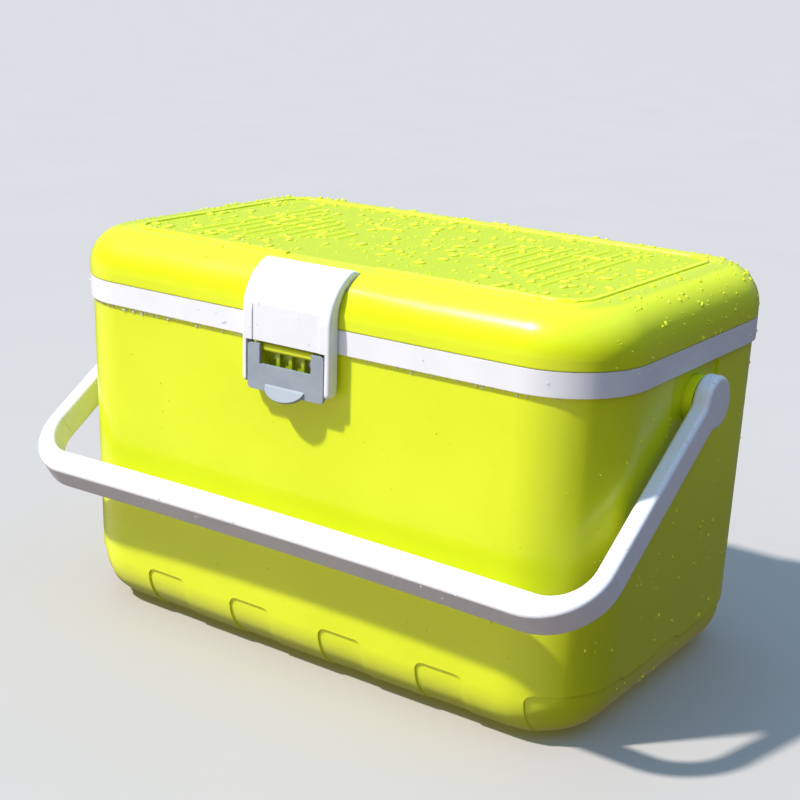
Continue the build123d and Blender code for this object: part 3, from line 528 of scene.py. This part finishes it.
# Water beads. A shower starts from points between low and high, clear of the box, and falls straight
# on to its host. Its places and radii are in millimetres, and its height is a share of the radius.
far = 300
down = (0, 0, -1)
inwards = (0, 1, 0)  # from the front
forwards = (0, -1, 0)  # from the back
leftwards = (-1, 0, 0)  # from the right end
rightwards = (1, 0, 0)  # from the left end
limeDrop = 0  # slots of the two waters
paleDrop = 1
beadSpec = {
    "seed": 23,
    "tries": 12,  # for each bead wanted
    "smallBias": 2.2,  # the higher, the more of the beads are small
    "facing": -0.25,  # a surface that faces the fall less than this stays dry, as a cosine
    "grids": ((1.1 * mm, 6, 2), (2.1 * mm, 8, 3), (math.inf, 12, 3)),  # radius under, sides, rings
    "longer": (1.0, 1.4),  # how much longer than broad
    "wobble": (0.86, 1.08),  # how uneven the outline is
    "taller": (0.8, 1.2),
    "leastHeight": 0.15 * mm,
    "sink": 0.12 * mm,  # the foot goes this far into the surface
    "headroom": 0.1 * mm,  # left under the top of the frame's box
    "overlap": 0.8,
    "deckBand": 0.2 * mm,  # from this far under the lid's flat top, beads sit level with it
    "endWalls": 150 * mm,  # from the middle
    "headClear": 18 * mm,  # dry round the pivots, where the handle's heads turn
    "frontWall": -60 * mm,
    "latchClear": 31 * mm,  # dry behind the latch, to either side of the middle
    "latchDrip": 3 * mm,  # and this far below its foot
    "lidBeads": [
        {"host": "lid_shell", "count": 560, "low": (-133, -64, far), "high": (133, 66, far),
         "fall": down, "radius": (0.7, 3.3), "height": 0.36, "drop": limeDrop},
        {"host": "lid_shell", "count": 46, "low": (-134, -72, far), "high": (-33, -66, far),
         "fall": down, "radius": (0.8, 2.2), "height": 0.5, "drop": limeDrop},
        {"host": "lid_shell", "count": 34, "low": (33, -72, far), "high": (134, -66, far),
         "fall": down, "radius": (0.8, 2.2), "height": 0.5, "drop": limeDrop},
        {"host": "lid_shell", "count": 60, "low": (-134, 66, far), "high": (134, 73, far),
         "fall": down, "radius": (0.8, 2.4), "height": 0.5, "drop": limeDrop},
        {"host": "lid_shell", "count": 100, "low": (-150, 76, far), "high": (152, 94, far),
         "fall": down, "radius": (0.5, 2.0), "height": 0.62, "drop": limeDrop},
        {"host": "lid_shell", "count": 70, "low": (-162, -60, far), "high": (-140, 74, far),
         "fall": down, "radius": (0.5, 1.7), "height": 0.6, "drop": limeDrop},
        {"host": "lid_shell", "count": 70, "low": (136, -60, far), "high": (163, 84, far),
         "fall": down, "radius": (0.5, 1.5), "height": 0.5, "drop": limeDrop},
        {"host": "lid_shell", "count": 14, "low": (-140, -94, far), "high": (150, -78, far),
         "fall": down, "radius": (0.4, 1.0), "height": 0.5, "drop": limeDrop},
        {"host": "lid_shell", "count": 44, "low": (far, -84, 184), "high": (far, 84, 202),
         "fall": leftwards, "radius": (0.4, 1.3), "height": 0.5, "drop": limeDrop},
        {"host": "lid_shell", "count": 24, "low": (-far, -84, 184), "high": (-far, 84, 202),
         "fall": rightwards, "radius": (0.4, 1.3), "height": 0.5, "drop": limeDrop},
        {"host": "lid_shell", "count": 40, "low": (-140, far, 190), "high": (140, far, 204),
         "fall": forwards, "radius": (0.4, 1.4), "height": 0.5, "drop": limeDrop},
    ],
    "tubBeads": [
        {"host": "outer_tub", "count": 48, "low": (-150, -far, 169.6), "high": (-30, -far, 171.0),
         "fall": inwards, "radius": (0.5, 1.5), "height": 0.7, "drop": paleDrop},
        {"host": "outer_tub", "count": 26, "low": (30, -far, 169.8), "high": (150, -far, 171.0),
         "fall": inwards, "radius": (0.4, 1.1), "height": 0.7, "drop": paleDrop},
        {"host": "rim_band", "count": 9, "low": (-160, -far, 172), "high": (160, -far, 182),
         "fall": inwards, "radius": (0.4, 1.1), "height": 0.5, "drop": paleDrop},
        {"host": "rim_band", "count": 12, "low": (far, -80, 172), "high": (far, 80, 182),
         "fall": leftwards, "radius": (0.4, 1.1), "height": 0.5, "drop": paleDrop},
        {"host": "outer_tub", "count": 30, "low": (-150, -far, 30), "high": (150, -far, 165),
         "fall": inwards, "radius": (0.35, 0.8), "height": 0.35, "drop": limeDrop},
        {"host": "outer_tub", "count": 90, "low": (far, -80, 12), "high": (far, 80, 165),
         "fall": leftwards, "radius": (0.4, 1.2), "height": 0.5, "drop": limeDrop},
        {"host": "outer_tub", "count": 50, "low": (-far, -80, 12), "high": (-far, 80, 165),
         "fall": rightwards, "radius": (0.4, 1.2), "height": 0.5, "drop": limeDrop},
        {"host": "outer_tub", "count": 70, "low": (-150, far, 12), "high": (150, far, 168),
         "fall": forwards, "radius": (0.4, 1.3), "height": 0.5, "drop": limeDrop},
    ],
    "handleBeads": [
        {"host": "carry_handle", "count": 26, "low": (-168, -far, 62), "high": (168, -far, 92),
         "fall": inwards, "radius": (0.35, 0.9), "height": 0.5, "drop": paleDrop},
        {"host": "handle_arm_right", "count": 16, "low": (168, -90, far), "high": (176, 8, far),
         "fall": down, "radius": (0.35, 0.8), "height": 0.5, "drop": paleDrop},
    ],
    "latchBeads": [
        {"host": "latch_cover", "count": 9, "low": (-24, -far, 175), "high": (24, -far, 204),
         "fall": inwards, "radius": (0.35, 0.8), "height": 0.5, "drop": paleDrop},
    ],
}


def hostTree(nodeName):
    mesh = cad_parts[nodeName].data
    corners = [vertex.co for vertex in mesh.vertices]
    return BVHTree.FromPolygons(corners, [face.vertices for face in mesh.polygons])


def deckLevel():
    # The lid's flat top, between its two groups of ribs
    place, _, _, _ = hostTree("lid_shell").ray_cast(Vector((0.0, 0.0, 1.0)), Vector(down))
    return place.z


def pivotLevel():
    low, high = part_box("handle_stub_right")
    return (low[2] + high[2]) / 2


beadBounds = {
    "deck": deckLevel(),
    "ceiling": frameHigh[2] - beadSpec["headroom"],
    "pivot": pivotLevel(),
    "latchFoot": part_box("latch_cover")[0][2] - beadSpec["latchDrip"],
}


def staysDry(place, body, host):
    # Under the handle's heads and behind the latch, but not on these themselves
    spec = beadSpec
    nearPivot = math.hypot(place.y, place.z - beadBounds["pivot"]) < spec["headClear"]
    underHead = abs(place.x) > spec["endWalls"] and nearPivot
    atFront = abs(place.x) < spec["latchClear"] and place.y < spec["frontWall"]
    behindLatch = atFront and place.z > beadBounds["latchFoot"]
    return (underHead and body != "handle") or (behindLatch and host != "latch_cover")


def staysInFrame(top):
    return all(low <= value <= high for low, value, high in zip(frameLow, top, frameHigh))


def addBead(form, place, up, radius, height, drop, chance):
    # Low dome with an uneven outline, its foot sunk a little into the surface
    spec = beadSpec
    segments, rings = next(grid[1:] for grid in spec["grids"] if radius < grid[0])
    sideways = up.orthogonal().normalized()
    ahead = up.cross(sideways)
    start = chance.uniform(0.0, math.tau)
    longer = chance.uniform(*spec["longer"])
    wobble = [chance.uniform(*spec["wobble"]) for _ in range(segments)]
    rows = []
    for ring in range(rings):
        rise = ring / rings * math.pi / 2
        lift = height * math.sin(rise) if ring else -spec["sink"]
        row = []
        for i, factor in enumerate(wobble):
            angle = math.tau * i / segments
            reach = radius * factor * math.cos(rise)
            along = reach * longer * math.cos(angle)
            across = reach / longer * math.sin(angle)
            x = along * math.cos(start) - across * math.sin(start)
            y = along * math.sin(start) + across * math.cos(start)
            row.append(form.verts.new(place + sideways * x + ahead * y + up * lift))
        rows.append(row)
    top = form.verts.new(place + up * height)
    faces = [form.faces.new(rows[0][::-1])]
    for i in range(segments):
        j = (i + 1) % segments
        for low, high in zip(rows, rows[1:]):
            faces.append(form.faces.new((low[i], low[j], high[j], high[i])))
        faces.append(form.faces.new((rows[-1][i], rows[-1][j], top)))
    for face in faces:
        face.smooth = True
        face.material_index = drop


def addShower(form, shower, body, taken, chance):
    spec = beadSpec
    tree = hostTree(shower["host"])
    fall = Vector(shower["fall"])
    smallest, largest = shower["radius"]
    left = shower["count"]
    for _ in range(shower["count"] * spec["tries"]):
        if left == 0:
            break
        start = Vector([chance.uniform(a, b) * mm for a, b in zip(shower["low"], shower["high"])])
        place, up, _, _ = tree.ray_cast(start, fall)
        radius = (smallest + (largest - smallest) * chance.random() ** spec["smallBias"]) * mm
        if place is None or up.dot(fall) > spec["facing"]:
            continue
        if staysDry(place, body, shower["host"]):
            continue
        if place.z > beadBounds["deck"] - spec["deckBand"]:
            place.z = beadBounds["deck"]
            up = Vector((0.0, 0.0, 1.0))
        if any((place - spot).length < spec["overlap"] * (radius + other) for spot, other in taken):
            continue
        height = radius * shower["height"] * chance.uniform(*spec["taller"]) + spec["leastHeight"]
        height = min(height, beadBounds["ceiling"] - place.z)
        if not staysInFrame(place + up * height):
            continue
        addBead(form, place, up, radius, height, shower["drop"], chance)
        taken.append((place, radius))
        left -= 1


def addObject(name, form, *materials):
    mesh = bpy.data.meshes.new(name)
    form.to_mesh(mesh)
    form.free()
    for material in materials:
        mesh.materials.append(material)
    made = bpy.data.objects.new(name, mesh)
    scene.collection.objects.link(made)
    return made


def makeBeads(name, body, showers, chance):
    form = bmesh.new()
    taken = []
    for shower in showers:
        addShower(form, shower, body, taken, chance)
    beads = addObject(name, form, limeWater, whiteWater)
    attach(beads, body)
    print(name, "has", len(taken), "beads")


limeWater = makeWater("limeWater", "lime")
whiteWater = makeWater("whiteWater", "white")
luck = random.Random(beadSpec["seed"])
makeBeads("water_beads_lid", "lid", beadSpec["lidBeads"], luck)
makeBeads("water_beads_tub", "tub", beadSpec["tubBeads"], luck)
makeBeads("water_beads_handle", "handle", beadSpec["handleBeads"], luck)
makeBeads("water_beads_latch", "latch", beadSpec["latchBeads"], luck)


# Camera at the photograph's viewing angle
cameraSpec = {
    "place": (0.437583, -0.634090, 0.348532),
    "lookAlong": (-0.550531, 0.785548, -0.282542),
    "upAlong": (-0.189636, 0.211922, 0.958711),
    "lens": 66.98,  # lens and sensor in millimetres
    "sensor": 36.0,
}


def makeCamera():
    spec = cameraSpec
    look = Vector(spec["lookAlong"]).normalized()
    right = look.cross(Vector(spec["upAlong"])).normalized()
    upward = right.cross(look)
    turn = Matrix((right, upward, -look)).transposed().to_4x4()
    data = bpy.data.cameras.new("camera")
    data.lens = spec["lens"]
    data.sensor_width = spec["sensor"]
    camera = bpy.data.objects.new("camera", data)
    camera.matrix_world = Matrix.Translation(spec["place"]) @ turn
    scene.collection.objects.link(camera)
    scene.camera = camera


# Key light from the upper left
keySpec = {
    "towards": (-0.39, -0.46, 0.80),
    "power": 4.6,
    "spread": 3.0,  # degrees
    "colour": (1.0, 0.985, 0.95),
}


def makeKeyLight():
    spec = keySpec
    lamp = bpy.data.lights.new("key", "SUN")
    lamp.energy = spec["power"]
    lamp.angle = math.radians(spec["spread"])
    lamp.color = spec["colour"]
    key = bpy.data.objects.new("key", lamp)
    key.rotation_mode = "QUATERNION"
    key.rotation_quaternion = Vector(spec["towards"]).to_track_quat("Z", "Y")
    scene.collection.objects.link(key)


# Pale surround: it brightens upwards, is dimmer at the back, and glows from the ground in front
skySpec = {
    "lowSky": (0.15, 0.125, 0.13),
    "highSky": (0.54, 0.88, 1.36),
    "skyRise": (0.15, 1.0),
    "backSky": (0.36, 0.38, 0.38),
    "toBackSky": (-0.5, 0.86, 0.0),
    "backSpan": (0.45, 0.9),
    "backRise": (-0.05, 0.05),
    "groundGlow": (1.06, 0.96, 0.90),
    "toGroundGlow": (-0.42, -0.91, 0.0),
    "glowSpan": (-0.1, 0.7),
    "glowEnd": (-0.1, 0.05),
    "seenSky": (0.74, 0.76, 0.79),  # what the camera sees behind the box
}


def makeSky():
    spec = skySpec
    world = bpy.data.worlds.new("sky")
    sky = Graph(world, "Generated")
    _, _, z = sky.axes()
    inBack = sky.towards(spec["toBackSky"]).ramp(*spec["backSpan"]) * z.ramp(*spec["backRise"])
    inGlow = sky.towards(spec["toGroundGlow"]).ramp(*spec["glowSpan"]) * (1 - z.ramp(*spec["glowEnd"]))
    colour = sky.blendColours(z.ramp(*spec["skyRise"]), spec["lowSky"], spec["highSky"])
    colour = sky.blendColours(inBack, colour, spec["backSky"])
    colour = sky.blendColours(inGlow, colour, spec["groundGlow"])
    seen = sky.node("ShaderNodeLightPath", {}, {}, "Is Camera Ray")
    sky.plug(sky.nodes["Background"].inputs[0], sky.blendColours(seen, colour, spec["seenSky"]))
    scene.world = world
    scene.view_settings.view_transform = "Standard"


# Plain pale floor
floorSpec = {
    "colour": (0.445, 0.408, 0.378),
    "paler": 1.06,
    "cloud": (6.0, 3.0),
    "roughness": 0.75,
    "cloudRoughness": 0.1,
    "half": 60.0,
    "squares": 8,
    "shader": {"IOR": 1.3},
}


def makeFloor():
    spec = floorSpec
    finish = Finish("floorPaper", spec["shader"])
    cloud = finish.noise(*spec["cloud"])
    paler = tuple(part * spec["paler"] for part in spec["colour"])
    colour = finish.blendColours(cloud, spec["colour"], paler)
    paper = finish.feed(colour=colour, roughness=spec["roughness"] + cloud * spec["cloudRoughness"])
    form = bmesh.new()
    squares = spec["squares"]
    bmesh.ops.create_grid(form, x_segments=squares, y_segments=squares, size=spec["half"])
    floor = addObject("floor", form, paper)
    floor.visible_glossy = False  # the sides mirror the dim sky, not the pale floor
    floor.visible_diffuse = False  # and the glow from the ground comes from the front alone


makeCamera()
makeKeyLight()
makeSky()
makeFloor()
print("camera, lights and floor made")
